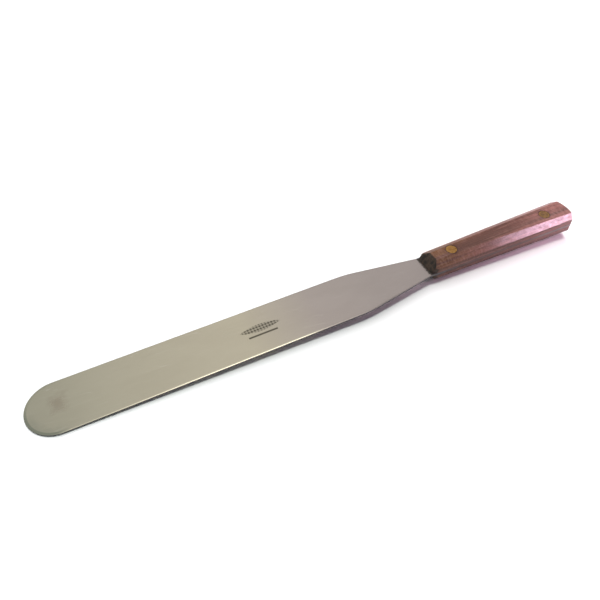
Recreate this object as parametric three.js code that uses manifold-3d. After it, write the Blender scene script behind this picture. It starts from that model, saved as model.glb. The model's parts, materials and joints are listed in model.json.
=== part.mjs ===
// A straight icing spatula for bakery work: one long steel blade that is also
// the full tang, two hardwood scales on either side of it, and two brass
// cutler's rivets, each a post pressed into a socket.
// Millimetres. Along the tool: x = 0 at the blade's round tip, +x to the butt.
// z = 0 is the middle plane of the blade until the tool is laid down to rest.
import * as THREE from 'three';
import Module from 'manifold-3d';
import { mergeVertices } from 'three/addons/utils/BufferGeometryUtils.js';

const wasm = await Module();
wasm.setup();

// Blade: a 12 inch working length, ground thinner towards the tip.
const BLADE_LENGTH = 306; // tip to the front of the handle
const BLADE_WIDTH = 41.5;
const TIP_THICKNESS = 1.1;
const TANG_THICKNESS = 2.2;
const SHOULDER_X = 244.5; // where the straight sides turn in to the neck
const SHOULDER_SOFTENING = 9; // length of the soft turn on each side of it
const NECK_HALF_WIDTH = 10.5; // where the neck meets the handle

// Handle: octagonal in section, widening to the butt.
const HANDLE_LENGTH = 145;
const HANDLE_THICKNESS = 19.2;
const FRONT_HALF_WIDTH = 10.9; // at the side walls
const BUTT_HALF_WIDTH = 13.2;
const BUTT_RADIUS = 30; // the butt is a shallow arc seen from above
const FRONT_TOP_HALF_WIDTH = 4.3; // at the flat top
const BUTT_TOP_HALF_WIDTH = 8.5;
const FRONT_WALL_HALF_HEIGHT = 4.5; // where the side wall turns into the bevel
const BUTT_WALL_HALF_HEIGHT = 5.9;
const NOSE_RUN = 6.4; // how far the front end slopes back
const NOSE_FACE_HALF_WIDTH = 8.6; // of the front end, down at the blade
const NOSE_CORNER_RUN = 4.5; // length of the cut corners along the sides
const NOSE_CORNER_LEAN = 1; // how far they lean back up the side wall

// Rivets.
const FRONT_RIVET_X = 330.3;
const REAR_RIVET_X = 427;
const RIVET_HEAD_RADIUS = 4.5;
const RIVET_HEAD_THICKNESS = 1.6;
const SOCKET_RADIUS = 2.6;
const SOCKET_BORE_RADIUS = 1.6;
const POST_RADIUS = 1.3;
const POST_LENGTH = 14;

const FIT_GAP = 0.3; // left between faces that bear on each other
const CUTTER_SIZE = 400; // large enough to cut right across any piece

const handleTop = HANDLE_THICKNESS / 2;
const tangTop = TANG_THICKNESS / 2;
const bladeRadius = BLADE_WIDTH / 2;
const buttX = BLADE_LENGTH + HANDLE_LENGTH;
const buttCornerX = buttX - BUTT_RADIUS + Math.sqrt(BUTT_RADIUS ** 2 - BUTT_HALF_WIDTH ** 2);
const cornerX = BLADE_LENGTH + NOSE_CORNER_RUN;
const noseTopX = BLADE_LENGTH + NOSE_RUN;

const steel = { color: 0xb4ae9e, roughness: 0.35, metalness: 1 };
const rosewood = { color: 0x80564c, roughness: 0.4, metalness: 0 };
const brass = { color: 0xa88048, roughness: 0.4, metalness: 1 };

// ---- solids and geometries ----

function solidFrom(geometry) {
  const bare = geometry.clone();
  bare.deleteAttribute('normal');
  bare.deleteAttribute('uv');
  const merged = mergeVertices(bare, 1e-4);
  const vertProperties = Float32Array.from(merged.attributes.position.array);
  const triVerts = Uint32Array.from(merged.index.array);
  return new wasm.Manifold(new wasm.Mesh({ numProp: 3, vertProperties, triVerts }));
}

function geometryFrom(solid) {
  const mesh = solid.getMesh();
  const geometry = new THREE.BufferGeometry();
  geometry.setAttribute('position', new THREE.BufferAttribute(mesh.vertProperties, 3));
  geometry.setIndex(new THREE.BufferAttribute(mesh.triVerts, 1));
  return geometry;
}

// A block whose one face passes through the points a, b and c, on the side of
// them that is away from the point kept. It holds all that is to be cut away.
function wasteBeyond(a, b, c, kept) {
  const normal = new THREE.Triangle(a, b, c).getNormal(new THREE.Vector3());
  if (normal.dot(kept.clone().sub(a)) > 0) normal.negate();
  const block = new THREE.BoxGeometry(CUTTER_SIZE, CUTTER_SIZE, CUTTER_SIZE);
  block.translate(0, 0, CUTTER_SIZE / 2);
  const turn = new THREE.Quaternion().setFromUnitVectors(new THREE.Vector3(0, 0, 1), normal);
  block.applyQuaternion(turn);
  block.translate(a.x, a.y, a.z);
  return solidFrom(block);
}

function part(name, geometry, finish) {
  geometry.computeVertexNormals();
  const mesh = new THREE.Mesh(geometry, new THREE.MeshStandardMaterial(finish));
  mesh.name = name;
  return mesh;
}

// ---- outlines seen from above ----

// Draws the handle's sides and round butt, from one front corner to the other.
function drawHandleSides(shape) {
  const arcCentre = buttX - BUTT_RADIUS;
  const arcAngle = Math.asin(BUTT_HALF_WIDTH / BUTT_RADIUS);
  shape.lineTo(cornerX, -FRONT_HALF_WIDTH);
  shape.lineTo(buttCornerX, -BUTT_HALF_WIDTH);
  shape.absarc(arcCentre, 0, BUTT_RADIUS, -arcAngle, arcAngle, false);
  shape.lineTo(cornerX, FRONT_HALF_WIDTH);
}

function rivetHole(x) {
  const hole = new THREE.Path();
  hole.absarc(x, 0, SOCKET_RADIUS + FIT_GAP, 0, 2 * Math.PI, true);
  return hole;
}

function bladeOutline() {
  const slope = (bladeRadius - NECK_HALF_WIDTH) / (BLADE_LENGTH - SHOULDER_X);
  const straightEnd = SHOULDER_X - SHOULDER_SOFTENING;
  const neckStart = SHOULDER_X + SHOULDER_SOFTENING;
  const neckStartHalf = bladeRadius - slope * SHOULDER_SOFTENING;
  const shape = new THREE.Shape();
  shape.moveTo(straightEnd, bladeRadius);
  shape.absarc(bladeRadius, 0, bladeRadius, Math.PI / 2, -Math.PI / 2, false);
  shape.lineTo(straightEnd, -bladeRadius);
  shape.quadraticCurveTo(SHOULDER_X, -bladeRadius, neckStart, -neckStartHalf);
  shape.lineTo(BLADE_LENGTH, -NECK_HALF_WIDTH);
  drawHandleSides(shape);
  shape.lineTo(BLADE_LENGTH, NECK_HALF_WIDTH);
  shape.lineTo(neckStart, neckStartHalf);
  shape.quadraticCurveTo(SHOULDER_X, bladeRadius, straightEnd, bladeRadius);
  shape.holes.push(rivetHole(FRONT_RIVET_X), rivetHole(REAR_RIVET_X));
  return shape;
}

function scaleOutline() {
  const shape = new THREE.Shape();
  shape.moveTo(BLADE_LENGTH, NOSE_FACE_HALF_WIDTH);
  shape.lineTo(BLADE_LENGTH, -NOSE_FACE_HALF_WIDTH);
  drawHandleSides(shape);
  shape.lineTo(BLADE_LENGTH, NOSE_FACE_HALF_WIDTH);
  shape.holes.push(rivetHole(FRONT_RIVET_X), rivetHole(REAR_RIVET_X));
  return shape;
}

// ---- the pieces ----

// The waste that is ground off one face of the blade's blank.
function taperWaste(face) {
  const tip = face * TIP_THICKNESS / 2;
  const side = BLADE_WIDTH;
  return wasteBeyond(
    new THREE.Vector3(0, -side, tip),
    new THREE.Vector3(0, side, tip),
    new THREE.Vector3(BLADE_LENGTH, 0, face * tangTop),
    new THREE.Vector3(BLADE_LENGTH, 0, 0),
  );
}

// Stamped flat at the tang's thickness, then both faces ground to the taper.
function makeBlade() {
  const settings = { depth: TANG_THICKNESS, bevelEnabled: false, curveSegments: 40 };
  const blank = new THREE.ExtrudeGeometry(bladeOutline(), settings);
  blank.translate(0, 0, -tangTop);
  const ground = solidFrom(blank).subtract(taperWaste(1)).subtract(taperWaste(-1));
  return part('blade', geometryFrom(ground), steel);
}

const scaleMiddle = new THREE.Vector3((BLADE_LENGTH + buttX) / 2, 0, (tangTop + handleTop) / 2);

// The waste of one long bevel, between the flat top and a side wall.
function bevelWaste(side) {
  const front = new THREE.Vector3(noseTopX, side * FRONT_TOP_HALF_WIDTH, handleTop);
  const butt = new THREE.Vector3(buttX, side * BUTT_TOP_HALF_WIDTH, handleTop);
  const wall = new THREE.Vector3(
    (cornerX + buttCornerX) / 2,
    side * (FRONT_HALF_WIDTH + BUTT_HALF_WIDTH) / 2,
    (FRONT_WALL_HALF_HEIGHT + BUTT_WALL_HALF_HEIGHT) / 2,
  );
  return wasteBeyond(front, butt, wall, scaleMiddle);
}

// The waste of one cut corner at the front end.
function cornerWaste(side) {
  const face = new THREE.Vector3(BLADE_LENGTH, side * NOSE_FACE_HALF_WIDTH, tangTop);
  const foot = new THREE.Vector3(cornerX, side * FRONT_HALF_WIDTH, tangTop);
  const shoulder = new THREE.Vector3(
    cornerX + NOSE_CORNER_LEAN,
    side * FRONT_HALF_WIDTH,
    FRONT_WALL_HALF_HEIGHT,
  );
  return wasteBeyond(face, foot, shoulder, scaleMiddle);
}

// The waste in front of the sloping nose.
function noseWaste() {
  const nearFoot = new THREE.Vector3(BLADE_LENGTH, -NOSE_FACE_HALF_WIDTH, tangTop);
  const farFoot = new THREE.Vector3(BLADE_LENGTH, NOSE_FACE_HALF_WIDTH, tangTop);
  const top = new THREE.Vector3(noseTopX, 0, handleTop);
  return wasteBeyond(nearFoot, farFoot, top, scaleMiddle);
}

// The seat of one rivet head, a little wider and deeper than the head.
function headSeat(x) {
  const depth = RIVET_HEAD_THICKNESS + FIT_GAP;
  const seat = new THREE.CylinderGeometry(
    RIVET_HEAD_RADIUS + FIT_GAP,
    RIVET_HEAD_RADIUS + FIT_GAP,
    2 * depth,
    48,
  );
  seat.rotateX(Math.PI / 2);
  seat.translate(x, 0, handleTop);
  return solidFrom(seat);
}

// The scale above the tang. The one below is the same piece turned over.
function scaleGeometry() {
  const innerFace = tangTop + FIT_GAP;
  const settings = { depth: handleTop - innerFace, bevelEnabled: false, curveSegments: 24 };
  const block = new THREE.ExtrudeGeometry(scaleOutline(), settings);
  block.translate(0, 0, innerFace);
  const wastes = [bevelWaste(1), bevelWaste(-1), cornerWaste(1), cornerWaste(-1), noseWaste()];
  wastes.push(headSeat(FRONT_RIVET_X), headSeat(REAR_RIVET_X));
  let scale = solidFrom(block);
  for (const waste of wastes) scale = scale.subtract(waste);
  return geometryFrom(scale);
}

function makeUpperScale() {
  return part('upper_scale', scaleGeometry(), rosewood);
}

function makeLowerScale() {
  const scale = part('lower_scale', scaleGeometry(), rosewood);
  scale.rotation.x = Math.PI;
  return scale;
}

// Turns a half profile of (radius, height) pairs into an upright round piece.
function turned(name, profile, x) {
  const points = profile.map(([radius, height]) => new THREE.Vector2(radius, height));
  const mesh = part(name, new THREE.LatheGeometry(points, 40), brass);
  mesh.rotation.x = Math.PI / 2;
  mesh.position.x = x;
  return mesh;
}

// The upper half of a rivet: a flat head and a solid pin.
function makeRivetPost(name, x) {
  const headFloor = handleTop - RIVET_HEAD_THICKNESS;
  const profile = [
    [0, headFloor - POST_LENGTH],
    [POST_RADIUS, headFloor - POST_LENGTH],
    [POST_RADIUS, headFloor],
    [RIVET_HEAD_RADIUS, headFloor],
    [RIVET_HEAD_RADIUS, handleTop],
    [0, handleTop],
  ];
  return turned(name, profile, x);
}

// The lower half: a flat head and a tube that the pin is pressed into.
function makeRivetSocket(name, x) {
  const headRoof = RIVET_HEAD_THICKNESS - handleTop;
  const tubeTop = handleTop - RIVET_HEAD_THICKNESS - FIT_GAP;
  const boreFloor = handleTop - RIVET_HEAD_THICKNESS - POST_LENGTH - FIT_GAP;
  const profile = [
    [0, -handleTop],
    [RIVET_HEAD_RADIUS, -handleTop],
    [RIVET_HEAD_RADIUS, headRoof],
    [SOCKET_RADIUS, headRoof],
    [SOCKET_RADIUS, tubeTop],
    [SOCKET_BORE_RADIUS, tubeTop],
    [SOCKET_BORE_RADIUS, boreFloor],
    [0, boreFloor],
  ];
  return turned(name, profile, x);
}

function makeTool() {
  const tool = new THREE.Group();
  tool.add(makeBlade(), makeUpperScale(), makeLowerScale());
  for (const [place, x] of [['front', FRONT_RIVET_X], ['rear', REAR_RIVET_X]]) {
    tool.add(makeRivetPost(`${place}_rivet_post`, x), makeRivetSocket(`${place}_rivet_socket`, x));
  }
  return tool;
}

// ---- laid down to rest ----

// On a flat surface the tool stands on the tip of its blade and on the front
// edge of the handle's underside, so it leans up a little towards the butt.
const restLean = Math.atan((handleTop - TIP_THICKNESS / 2) / noseTopX);
const tool = makeTool();
tool.rotation.y = -restLean;

const spatula = new THREE.Group();
spatula.add(tool);
const box = new THREE.Box3().setFromObject(spatula, true);
const middle = box.getCenter(new THREE.Vector3());
tool.position.set(-middle.x, -middle.y, -box.min.z);
spatula.updateMatrixWorld(true);

export default spatula;
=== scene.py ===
# %% [markdown]
# # A straight icing spatula
# A baker spreads icing with this tool. It is a long springy blade of stainless
# steel whose tang runs right through the handle, two slabs of rosewood called
# scales, one on each side of the tang, and two brass rivets that clamp them.
# The engineering model already gives every piece its size and place. This lesson
# makes the surfaces that the eye sees, and never moves what was measured.

# %% Load the measured model
import json
import math
from functools import reduce

import bpy
from mathutils import Matrix, Vector


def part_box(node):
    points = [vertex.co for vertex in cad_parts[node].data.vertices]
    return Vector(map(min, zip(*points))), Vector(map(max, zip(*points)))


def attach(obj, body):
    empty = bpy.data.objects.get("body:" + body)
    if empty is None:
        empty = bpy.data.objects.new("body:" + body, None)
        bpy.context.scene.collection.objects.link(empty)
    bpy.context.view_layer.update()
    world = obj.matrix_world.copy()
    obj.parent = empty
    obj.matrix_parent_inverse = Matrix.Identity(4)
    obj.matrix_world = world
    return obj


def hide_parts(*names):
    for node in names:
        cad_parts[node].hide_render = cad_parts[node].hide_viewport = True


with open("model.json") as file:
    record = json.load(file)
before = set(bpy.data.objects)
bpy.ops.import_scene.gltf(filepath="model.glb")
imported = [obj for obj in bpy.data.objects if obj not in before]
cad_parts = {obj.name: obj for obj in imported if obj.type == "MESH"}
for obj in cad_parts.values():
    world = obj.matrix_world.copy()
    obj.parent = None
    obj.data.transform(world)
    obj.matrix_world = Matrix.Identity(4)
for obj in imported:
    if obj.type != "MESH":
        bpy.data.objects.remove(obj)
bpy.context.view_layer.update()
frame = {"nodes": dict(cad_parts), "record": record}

record = frame["record"]
bpy.ops.object.select_all(action="DESELECT")
print("nodes:", sorted(frame["nodes"]))

# %% [markdown]
# ## Working on the tool as if it lay straight
# At rest the tool leans: it stands on the tip of the blade and on the front of
# the handle. Modelling on a slant is awkward, so every piece is modelled level,
# with x running along the tool from the tip and z = 0 in the middle of the
# steel. When a piece is finished it is turned and moved to its resting place,
# and that place is applied to its mesh. The lean is read from the flat top of
# the handle, whose direction the record gives.

# %% The tool's own frame
MM = 0.001
TIP_THICKNESS = 1.1 * MM

mounts = {mount["name"]: mount for mount in record["mounts"]}
handle_up = Vector(mounts["handle_top"]["axis"])
lean = math.atan2(-handle_up.x, handle_up.z)
blade_low, blade_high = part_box("blade")
tip_half = TIP_THICKNESS / 2
tip_place = Vector((
    blade_low.x + tip_half * math.sin(lean),
    (blade_low.y + blade_high.y) / 2,
    blade_low.z + tip_half * math.cos(lean),
))
to_rest = Matrix.Translation(tip_place) @ Matrix.Rotation(-lean, 4, "Y")
to_level = to_rest.inverted()


def level(point):
    """A point of the resting tool, seen in the level frame."""
    return to_level @ Vector(point)


print("lean in degrees:", round(math.degrees(lean), 2))

# %% [markdown]
# The boxes and mounts of the engineering model give the sizes that matter: how
# wide the blade is, how thick the handle is, how fast the steel thins towards
# the tip, and where the rivets sit. Two lengths are plain numbers: 306 mm of
# blade and 145 mm of handle.

# %% The sizes that every piece shares
blade_radius = (blade_high.y - blade_low.y) / 2
handle_top = level(mounts["handle_top"]["pos_m"]).z
ground = level(mounts["blade_upper_face"]["pos_m"])
scale_low, scale_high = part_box("upper_scale")
butt_half = (scale_high.y - scale_low.y) / 2

BLADE_LENGTH = 306 * MM
HANDLE_END = BLADE_LENGTH + 145 * MM
grind_slope = (ground.z - tip_half) / ground.x
tang_top = tip_half + grind_slope * BLADE_LENGTH


def rivet_x(place):
    """The middle of a rivet along the tool, from the corners of its two halves."""
    post_low, post_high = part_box(place + "_rivet_post")
    socket_low, socket_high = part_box(place + "_rivet_socket")
    lowest = Vector(map(min, post_low, socket_low))
    highest = Vector(map(max, post_high, socket_high))
    return level((lowest + highest) / 2).x


rivet_places = {place: rivet_x(place) for place in ("front", "rear")}
print("blade width in mm:", round(2 * blade_radius / MM, 2))
print("handle thickness in mm:", round(2 * handle_top / MM, 2))
print("tang thickness in mm:", round(2 * tang_top / MM, 2))
print("rivets at mm:", {place: round(x / MM, 1) for place, x in rivet_places.items()})

# %% [markdown]
# ## Small helpers, each one thing that a hand does
# Operators act on whatever is selected, so each helper first makes the selection
# plain: nothing, one object, or the faces and edges that pass a test.

# %% Selecting, and applying modifiers
STRAIGHT = 0.99


def select_only(piece):
    """Makes one piece the only selected one, and the active one."""
    bpy.ops.object.select_all(action="DESELECT")
    piece.select_set(True)
    bpy.context.view_layer.objects.active = piece


def enter_edit(piece):
    """Opens one piece for shaping, with nothing selected in it."""
    select_only(piece)
    bpy.ops.object.mode_set(mode="EDIT")
    bpy.ops.mesh.select_all(action="DESELECT")


def leave_edit():
    bpy.ops.object.mode_set(mode="OBJECT")


def select_where(piece, kind, test):
    """Selects the vertices, edges or faces of the open piece that pass a test."""
    modes = {"VERT": "vertices", "EDGE": "edges", "FACE": "polygons"}
    bpy.ops.mesh.select_mode(type=kind)
    bpy.ops.mesh.select_all(action="DESELECT")
    bpy.ops.object.mode_set(mode="OBJECT")
    count = 0
    for element in getattr(piece.data, modes[kind]):
        element.select = bool(test(element))
        count += element.select
    bpy.ops.object.mode_set(mode="EDIT")
    return count


def edge_points(piece, edge):
    """The two end points of an edge."""
    return [piece.data.vertices[index].co for index in edge.vertices]


def extrude(*move):
    """Draws new faces out of what is selected, and moves them."""
    bpy.ops.mesh.extrude_region_move(TRANSFORM_OT_translate={"value": move})


def apply_modifier(piece, kind, **settings):
    """Adds one modifier, sets it, and applies it."""
    select_only(piece)
    modifier = piece.modifiers.new(kind.title(), kind)
    for name, value in settings.items():
        setattr(modifier, name, value)
    bpy.ops.object.modifier_apply(modifier=modifier.name)


# %% [markdown]
# ## The camera
# The camera stands at the front left of the tool, looking down at it over the
# tip of the blade. A fairly wide lens, close to the tool, makes the tip look
# large and the handle small. The camera is turned a little about its own line
# of sight, as a camera held in the hand is.

# %% Camera
CAMERA_AZIMUTH = math.radians(-28.45)
CAMERA_ELEVATION = math.radians(46.57)
CAMERA_ROLL = math.radians(2.2)
CAMERA_DISTANCE = 0.442
CAMERA_LENS = 34.53
camera_target = Vector((-0.0207, 0.0185, 0))

camera_back = Vector((
    math.sin(CAMERA_AZIMUTH) * math.cos(CAMERA_ELEVATION),
    -math.cos(CAMERA_AZIMUTH) * math.cos(CAMERA_ELEVATION),
    math.sin(CAMERA_ELEVATION),
))
camera_place = camera_target + camera_back * CAMERA_DISTANCE
bpy.ops.object.camera_add(location=camera_place)
camera = bpy.context.object
camera.name = "view_camera"
camera.data.lens = CAMERA_LENS
camera.data.sensor_width = 36
camera.data.clip_start = 0.01
camera_turn = (-camera_back).to_track_quat("-Z", "Y").to_matrix().to_4x4()
camera.matrix_world = (
    Matrix.Translation(camera_place) @ camera_turn @ Matrix.Rotation(CAMERA_ROLL, 4, "Z")
)
bpy.context.scene.camera = camera
print("camera at", [round(value, 3) for value in camera_place])

# %% [markdown]
# ## The blade
# A real blade is stamped from sheet, ground thinner towards the tip on both
# faces, and then its rim is rounded on a belt. The same order works here. The
# outline grows from a disc for the round tip: half of it is cut away, and the
# straight edge that is left is extruded from station to station along the tool,
# each station as wide as the tool is there.

# %% The stations along the blade and its tang
SHOULDER_X = 244.5 * MM
SHOULDER_SOFTENING = 9 * MM
NECK_HALF = 10.5 * MM
HANDLE_FRONT_HALF = 10.9 * MM
CORNER_X = BLADE_LENGTH + 4.5 * MM
BUTT_RADIUS = 30 * MM
SHOULDER_STEPS = 8
BUTT_STEPS = 12
NECK_SLOPE = (blade_radius - NECK_HALF) / (BLADE_LENGTH - SHOULDER_X)


def shoulder_stations():
    """The soft turn from the straight side into the neck."""
    stations = []
    for step in range(SHOULDER_STEPS + 1):
        t = step / SHOULDER_STEPS
        x = SHOULDER_X + SHOULDER_SOFTENING * (2 * t - 1)
        stations.append((x, blade_radius - NECK_SLOPE * SHOULDER_SOFTENING * t * t))
    return stations


def butt_stations():
    """The round end of the handle, from its corner to its middle."""
    widest = math.asin(butt_half / BUTT_RADIUS)
    stations = []
    for step in range(BUTT_STEPS):
        angle = widest * (1 - step / BUTT_STEPS)
        x = HANDLE_END - BUTT_RADIUS + BUTT_RADIUS * math.cos(angle)
        stations.append((x, BUTT_RADIUS * math.sin(angle)))
    return stations


blade_stations = shoulder_stations()
blade_stations += [(BLADE_LENGTH, NECK_HALF), (CORNER_X, HANDLE_FRONT_HALF)]
blade_stations += butt_stations()
print("stations along the blade:", len(blade_stations))

# %% [markdown]
# Extruding an edge draws a new strip of face behind it, and resizing the new edge
# gives the strip its taper. A Solidify modifier then turns the flat outline into
# a sheet as thick as the tang.

# %% Stamp the blank
ON_THE_LINE = 1e-6
TIP_VERTICES = 192
bpy.ops.mesh.primitive_circle_add(
    vertices=TIP_VERTICES, radius=blade_radius, fill_type="NGON", location=(0, 0, 0)
)
blade = bpy.context.object
blade.name = "steel_blade"
enter_edit(blade)
bpy.ops.mesh.select_all(action="SELECT")
bpy.ops.mesh.bisect(plane_co=(0, 0, 0), plane_no=(1, 0, 0), clear_outer=True)
bpy.ops.mesh.select_all(action="SELECT")
bpy.ops.transform.translate(value=(blade_radius, 0, 0))

front_x, front_half = blade_radius, blade_radius
select_where(
    blade,
    "EDGE",
    lambda edge: all(abs(co.x - blade_radius) < ON_THE_LINE for co in edge_points(blade, edge)),
)
for x, half in blade_stations:
    extrude(x - front_x, 0, 0)
    bpy.ops.transform.resize(value=(1, half / front_half, 1), center_override=(x, 0, 0))
    front_x, front_half = x, half
leave_edit()
apply_modifier(blade, "SOLIDIFY", thickness=2 * tang_top, offset=0)
print("blank thickness in mm:", round(blade.dimensions.z / MM, 2))

# %% [markdown]
# The blank is now ground: a plane that is a little lower at the tip than at the
# handle cuts each face. The cut leaves one clean face, and an inset of that face
# makes the belt-rounded rim, because the inset lifts the middle a little above
# the edge. So the plane is set lower by just that lift.

# %% Grind the taper
RIM_WIDTH = 0.95 * MM
RIM_DROP = 0.22 * MM
GROUND_FACE_AREA = 0.008
SAW_THRESHOLD = 1e-7

enter_edit(blade)
for side in (1, -1):
    bpy.ops.mesh.select_all(action="SELECT")
    bpy.ops.mesh.bisect(
        plane_co=(0, 0, side * (tip_half - RIM_DROP)),
        plane_no=(-grind_slope, 0, side),
        use_fill=True,
        clear_outer=True,
        threshold=SAW_THRESHOLD,
    )
    bpy.ops.mesh.select_mode(type="FACE")
    select_where(
        blade,
        "FACE",
        lambda face: face.normal.z * side > STRAIGHT and face.area > GROUND_FACE_AREA,
    )
    bpy.ops.mesh.inset(thickness=RIM_WIDTH, depth=RIM_DROP)
leave_edit()
print("faces after grinding:", len(blade.data.polygons))

# %% [markdown]
# The long corners where the wall meets the rim would cut a hand, so they are
# rounded. Each one has an upright face on one side and a flatter face on the
# other, and that is how it is told from all the other edges.

# %% Round the corners of the rim
EDGE_ROUNDING = 0.28 * MM
UPRIGHT = 0.2


def normals_beside_edges(piece):
    """For each edge, the directions of the faces that share it."""
    beside = {}
    for face in piece.data.polygons:
        for key in face.edge_keys:
            beside.setdefault(key, []).append(face.normal.copy())
    return beside


blade_normals = normals_beside_edges(blade)


def is_rim_edge(edge):
    """True on the long corners where the side wall meets a rim."""
    beside = blade_normals[edge.key]
    upright = [abs(normal.z) < UPRIGHT for normal in beside]
    return len(beside) == 2 and upright[0] != upright[1]


enter_edit(blade)
count = select_where(blade, "EDGE", is_rim_edge)
bpy.ops.mesh.bevel(offset=EDGE_ROUNDING, segments=3, affect="EDGES", clamp_overlap=True)
leave_edit()
print("rim edges rounded:", count)

# %% [markdown]
# ## Rivet holes
# The steel and both scales are drilled for the rivets. A drill is a cylinder,
# and a Boolean modifier takes it away. The seats of the rivet heads in the wood
# are a hair wider than the heads, which leaves the fine dark line that shows
# round a real rivet.

# %% Drill the blade
SHANK_RADIUS = 2.6 * MM
HEAD_RADIUS = 4.5 * MM
HEAD_THICKNESS = 1.6 * MM
SEAT_CLEARANCE = 0.12 * MM


def drill(piece, x, radius, z_low, z_high, vertices=64):
    """Takes an upright cylinder out of a piece."""
    bpy.ops.object.select_all(action="DESELECT")
    bpy.ops.mesh.primitive_cylinder_add(
        vertices=vertices,
        radius=radius,
        depth=z_high - z_low,
        location=(x, 0, (z_low + z_high) / 2),
    )
    bit = bpy.context.object
    apply_modifier(piece, "BOOLEAN", object=bit, operation="DIFFERENCE", solver="EXACT")
    bpy.data.objects.remove(bit, do_unlink=True)


for x in rivet_places.values():
    drill(blade, x, SHANK_RADIUS + SEAT_CLEARANCE, -5 * MM, 5 * MM)
print("faces after drilling:", len(blade.data.polygons))

# %% [markdown]
# ## Finishing a piece
# Every piece ends in the same way. Faces that meet at a small angle are shaded
# smooth and real corners stay sharp. Then the piece is laid down at rest and
# tied to the body that it rides on, and the measured nodes that it shows are hidden.

# %% Finish the blade
SMOOTH_ANGLE = math.radians(35)


def finish_piece(piece, nodes):
    """Smooths a piece, lays it down at rest, and hides the measured nodes it stands for."""
    select_only(piece)
    bpy.ops.object.shade_smooth_by_angle(angle=SMOOTH_ANGLE)
    apply_modifier(piece, "WEIGHTED_NORMAL", keep_sharp=True)
    piece.matrix_world = to_rest @ piece.matrix_world
    bpy.ops.object.transform_apply(location=True, rotation=True, scale=True)
    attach(piece, "root")
    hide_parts(*nodes)
    print(piece.name, "has", len(piece.data.polygons), "faces")


finish_piece(blade, ["blade"])

# %% [markdown]
# ## The scales
# Each scale starts as half a disc, for the round butt, whose flat side is pulled
# forward to the length of the handle. Then it is cut like real wood on a belt
# sander: two sides that spread towards the butt, two long bevels, two cut
# corners and a sloping nose. Every cut is one plane, given by three points.

# %% The saw, and where it cuts
NOSE_TOP_X = BLADE_LENGTH + 6.4 * MM
NOSE_FACE_HALF = 8.6 * MM
CORNER_LEAN = 1 * MM
TOP_HALF_FRONT = 4.3 * MM
TOP_HALF_BUTT = 8.5 * MM
WALL_HALF_FRONT = 4.5 * MM
WALL_HALF_BUTT = 5.9 * MM
GLUE_LINE = 0.02 * MM
SPARE_WOOD = 2 * MM
butt_corner_x = blade_stations[-BUTT_STEPS][0]


def saw(point, normal):
    """Cuts the open piece along a plane and throws away what the normal points to."""
    bpy.ops.mesh.select_all(action="SELECT")
    bpy.ops.mesh.bisect(
        plane_co=point, plane_no=normal, use_fill=True, clear_outer=True, threshold=SAW_THRESHOLD
    )
    bpy.ops.mesh.select_all(action="DESELECT")


def plane_through(a, b, c, kept):
    """A point and the outward normal of a plane, pointing away from what is kept."""
    a, b, c, kept = Vector(a), Vector(b), Vector(c), Vector(kept)
    normal = (b - a).cross(c - a).normalized()
    if normal.dot(kept - a) > 0:
        normal.negate()
    return a, normal


def scale_cuts(side):
    """The planes of one side of a scale, each by three points."""
    wall_front = (CORNER_X, side * HANDLE_FRONT_HALF, 0)
    wall_butt = (butt_corner_x, side * butt_half, 0)
    wall_up = (butt_corner_x, side * butt_half, handle_top)
    yield wall_front, wall_butt, wall_up

    top_front = (NOSE_TOP_X, side * TOP_HALF_FRONT, handle_top)
    top_butt = (HANDLE_END, side * TOP_HALF_BUTT, handle_top)
    wall_middle = (
        (CORNER_X + butt_corner_x) / 2,
        side * (HANDLE_FRONT_HALF + butt_half) / 2,
        (WALL_HALF_FRONT + WALL_HALF_BUTT) / 2,
    )
    yield top_front, top_butt, wall_middle

    face = (BLADE_LENGTH, side * NOSE_FACE_HALF, tang_top)
    foot = (CORNER_X, side * HANDLE_FRONT_HALF, tang_top)
    shoulder = (CORNER_X + CORNER_LEAN, side * HANDLE_FRONT_HALF, WALL_HALF_FRONT)
    yield face, foot, shoulder


def nose_cut():
    """The plane of the sloping nose."""
    return (
        (BLADE_LENGTH, -NOSE_FACE_HALF, tang_top),
        (BLADE_LENGTH, NOSE_FACE_HALF, tang_top),
        (NOSE_TOP_X, 0, handle_top),
    )


print("each scale is cut by", 2 * len(list(scale_cuts(1))) + 1, "planes")

# %% One scale
scale_floor = tang_top + GLUE_LINE
scale_height = handle_top - scale_floor
centre_x = HANDLE_END - BUTT_RADIUS
bpy.ops.object.select_all(action="DESELECT")
bpy.ops.mesh.primitive_cylinder_add(
    vertices=256,
    radius=BUTT_RADIUS,
    depth=scale_height,
    location=(centre_x, 0, scale_floor + scale_height / 2),
)
upper_scale = bpy.context.object
upper_scale.name = "rosewood_upper_scale"
bpy.ops.object.transform_apply(location=True)
enter_edit(upper_scale)
saw((centre_x, 0, 0), (-1, 0, 0))
select_where(upper_scale, "FACE", lambda face: face.normal.x < -STRAIGHT)
pull = BLADE_LENGTH - SPARE_WOOD - centre_x
extrude(pull, 0, 0)
inside = ((BLADE_LENGTH + HANDLE_END) / 2, 0, (tang_top + handle_top) / 2)
for side in (1, -1):
    for a, b, c in scale_cuts(side):
        saw(*plane_through(a, b, c, inside))
saw(*plane_through(*nose_cut(), inside))
leave_edit()
print("faces of the rough scale:", len(upper_scale.data.polygons))

# %% [markdown]
# Sharp wood would splinter and hurt, so all outer corners are eased by half a
# millimetre. The corners against the steel stay crisp, because wood and steel
# are sanded flush together. Where several corners meet, the bevel leaves points
# almost on top of each other, and those are merged.

# %% Ease the corners
CORNER_ROUNDING = 0.5 * MM
CORNER_LEAST_ANGLE = math.radians(12)
NEAR_STEEL = 0.1 * MM
MERGE_DISTANCE = 0.002 * MM
scale_normals = normals_beside_edges(upper_scale)


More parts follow.
